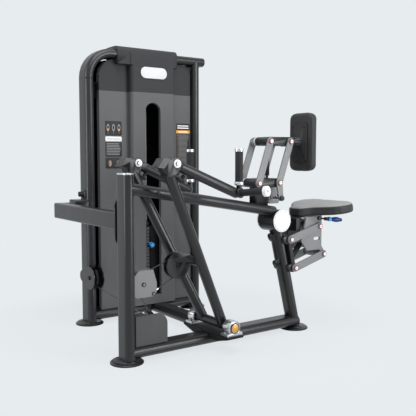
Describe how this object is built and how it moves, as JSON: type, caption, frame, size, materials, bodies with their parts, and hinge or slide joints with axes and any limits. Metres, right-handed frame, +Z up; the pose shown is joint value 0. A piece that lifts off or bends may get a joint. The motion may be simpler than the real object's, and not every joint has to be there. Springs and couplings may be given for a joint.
{
  "type": "seated cable row machine",
  "caption": "Seated row machine: swinging row frame with hinged arms, chest pad and seat on four-bar carriages, cable to a shrouded selector weight stack.",
  "frame": {"origin": "centre of the floor face under the front column", "axes": "+X along the base rail to the seat, +Y to the weight tower, +Z up"},
  "size_m": [1.3726, 1.1684, 1.5],
  "materials": {
    "frame_paint": "satin powder coat",
    "shroud_paint": "satin powder coat",
    "link_paint": "satin powder coat",
    "stack_iron": "painted black",
    "bright_steel": "bright",
    "black_steel": "black",
    "pulley_nylon": "moulded",
    "grip_rubber": "soft",
    "pad_vinyl": "grained vinyl",
    "blue_plastic": "gloss"
  },
  "bodies": {
    "frame": {"column": "frame_paint", "base_rail": "frame_paint", "seat_post": "frame_paint", "post_drum": "frame_paint", "upper_tube": "frame_paint", "cross_tube": "frame_paint", "side_beam": "frame_paint", "tower_leg_left": "frame_paint", "tower_leg_right": "frame_paint", "tower_top_tube": "frame_paint", "tower_base_tube": "frame_paint", "shroud_left": "shroud_paint", "shroud_right": "shroud_paint", "shroud_center": "shroud_paint", "shroud_rear": "shroud_paint", "shroud_crown": "shroud_paint", "resting_plates": "stack_iron", "guide_rod_left": "bright_steel", "guide_rod_right": "bright_steel", "column_guard": "link_paint", "leg_guard": "frame_paint", "top_pulley_bracket": "black_steel", "base_cover": "frame_paint", "base_pulley_stud": "black_steel", "swing_saddle": "frame_paint", "pillow_block_near": "bright_steel", "pillow_block_far": "bright_steel", "chest_post": "frame_paint", "seat_bracket": "frame_paint", "lift_cable": "black_steel", "chest_strut": "black_steel", "seat_strut": "black_steel"},
    "stack": {"lifted_plates": "stack_iron", "stack_stem": "bright_steel"},
    "selector": {"selector_pin": "blue_plastic"},
    "swing": {"swing_shaft": "frame_paint", "upright_near": "frame_paint", "upright_far": "frame_paint", "swing_crossbar": "frame_paint"},
    "arm_near": {"row_arm_near": "frame_paint", "grip_up_near": "grip_rubber", "grip_out_near": "grip_rubber"},
    "arm_far": {"row_arm_far": "frame_paint", "grip_up_far": "grip_rubber", "grip_out_far": "grip_rubber"},
    "column_wheel": {"column_pulley": "pulley_nylon"},
    "base_wheel": {"base_pulley": "pulley_nylon"},
    "leg_wheel": {"leg_pulley": "pulley_nylon"},
    "top_left_wheel": {"top_pulley_left": "pulley_nylon"},
    "top_right_wheel": {"top_pulley_right": "pulley_nylon"},
    "swing_wheel": {"swing_pulley": "pulley_nylon"},
    "chest_front_link": {"chest_link_front": "link_paint"},
    "chest_rear_link": {"chest_link_rear": "link_paint"},
    "chest_rest": {"chest_carriage": "frame_paint", "chest_pad": "pad_vinyl"},
    "seat_upper_link": {"seat_link_upper": "link_paint"},
    "seat_lower_link": {"seat_link_lower": "link_paint"},
    "seat": {"seat_carrier": "link_paint", "seat_pad": "pad_vinyl"},
    "lever": {"seat_lever": "blue_plastic"}
  },
  "joints": [
    {"name": "swing_hinge", "type": "hinge", "parent": "frame", "child": "swing", "pos_m": [0.47, 0, 0.116], "axis": [0, 1, 0], "range_deg": [0, 35], "deforming": ["lift_cable"]},
    {"name": "stack_lift", "type": "slide", "parent": "frame", "child": "stack", "axis": [0, 0, 1], "range_m": [0, 0.4]},
    {"name": "selector_pull", "type": "slide", "parent": "stack", "child": "selector", "axis": [0, -1, 0], "range_m": [0, 0.09]},
    {"name": "arm_near_hinge", "type": "hinge", "parent": "swing", "child": "arm_near", "pos_m": [0.143, -0.164, 0.877], "axis": [0, 1, 0], "range_deg": [-25, 0]},
    {"name": "arm_far_hinge", "type": "hinge", "parent": "swing", "child": "arm_far", "pos_m": [0.143, 0.164, 0.877], "axis": [0, 1, 0], "range_deg": [-25, 0]},
    {"name": "column_wheel_spin", "type": "hinge", "parent": "frame", "child": "column_wheel", "pos_m": [0.079, 0, 0.342], "axis": [0, 1, 0], "range_deg": [0, 560]},
    {"name": "swing_wheel_spin", "type": "hinge", "parent": "swing", "child": "swing_wheel", "pos_m": [0.261, 0, 0.409], "axis": [0, 1, 0], "range_deg": [0, 560]},
    {"name": "base_wheel_spin", "type": "hinge", "parent": "frame", "child": "base_wheel", "pos_m": [0.138, 0.02996, 0.18619], "axis": [0.8238, -0.0545, 0.5642], "range_deg": [-770, 0]},
    {"name": "leg_wheel_spin", "type": "hinge", "parent": "frame", "child": "leg_wheel", "pos_m": [0.155, 0.645, 0.262], "axis": [1, 0, 0], "range_deg": [-560, 0]},
    {"name": "top_left_spin", "type": "hinge", "parent": "frame", "child": "top_left_wheel", "pos_m": [0.196, 0.735, 1.26], "axis": [0, 1, 0], "range_deg": [-560, 0]},
    {"name": "top_right_spin", "type": "hinge", "parent": "frame", "child": "top_right_wheel", "pos_m": [0.489, 0.735, 1.26], "axis": [0, 1, 0], "range_deg": [-560, 0]},
    {"name": "chest_fold", "type": "hinge", "parent": "frame", "child": "chest_front_link", "pos_m": [0.697, 0, 0.776], "axis": [0, 1, 0], "range_deg": [-20, 10], "deforming": ["chest_strut"]},
    {"name": "chest_rear_hinge", "type": "hinge", "parent": "frame", "child": "chest_rear_link", "pos_m": [0.83, 0, 0.776], "axis": [0, 1, 0], "range_deg": [-20, 10]},
    {"name": "chest_rest_hinge", "type": "hinge", "parent": "chest_front_link", "child": "chest_rest", "pos_m": [0.77, 0, 0.9815], "axis": [0, 1, 0], "range_deg": [-10, 20]},
    {"name": "seat_raise", "type": "hinge", "parent": "frame", "child": "seat_upper_link", "pos_m": [0.913, 0, 0.484], "axis": [0, 1, 0], "range_deg": [-12, 18], "deforming": ["seat_strut"]},
    {"name": "seat_lower_hinge", "type": "hinge", "parent": "frame", "child": "seat_lower_link", "pos_m": [0.945, 0, 0.335], "axis": [0, 1, 0], "range_deg": [-12, 18]},
    {"name": "seat_level_hinge", "type": "hinge", "parent": "seat_upper_link", "child": "seat", "pos_m": [1.117, 0, 0.5395], "axis": [0, 1, 0], "range_deg": [-18, 12]},
    {"name": "lever_hinge", "type": "hinge", "parent": "seat", "child": "lever", "pos_m": [1.118, -0.0628, 0.582], "axis": [0, 1, 0], "range_deg": [-7, 0], "stiffness_Nm_per_rad": 3, "springref_deg": 5.73}
  ],
  "couplings": [
    {"joint": "stack_lift", "follows": "swing_hinge", "m_per_rad": 0.65},
    {"joint": "column_wheel_spin", "follows": "swing_hinge", "ratio": 15.854},
    {"joint": "swing_wheel_spin", "follows": "swing_hinge", "ratio": 15.854},
    {"joint": "base_wheel_spin", "follows": "swing_hinge", "ratio": -21.667},
    {"joint": "leg_wheel_spin", "follows": "swing_hinge", "ratio": -15.854},
    {"joint": "top_left_spin", "follows": "swing_hinge", "ratio": -15.854},
    {"joint": "top_right_spin", "follows": "swing_hinge", "ratio": -15.854},
    {"joint": "chest_rear_hinge", "follows": "chest_fold", "ratio": 1},
    {"joint": "chest_rest_hinge", "follows": "chest_fold", "ratio": -1},
    {"joint": "seat_lower_hinge", "follows": "seat_raise", "ratio": 1},
    {"joint": "seat_level_hinge", "follows": "seat_raise", "ratio": -1}
  ]
}
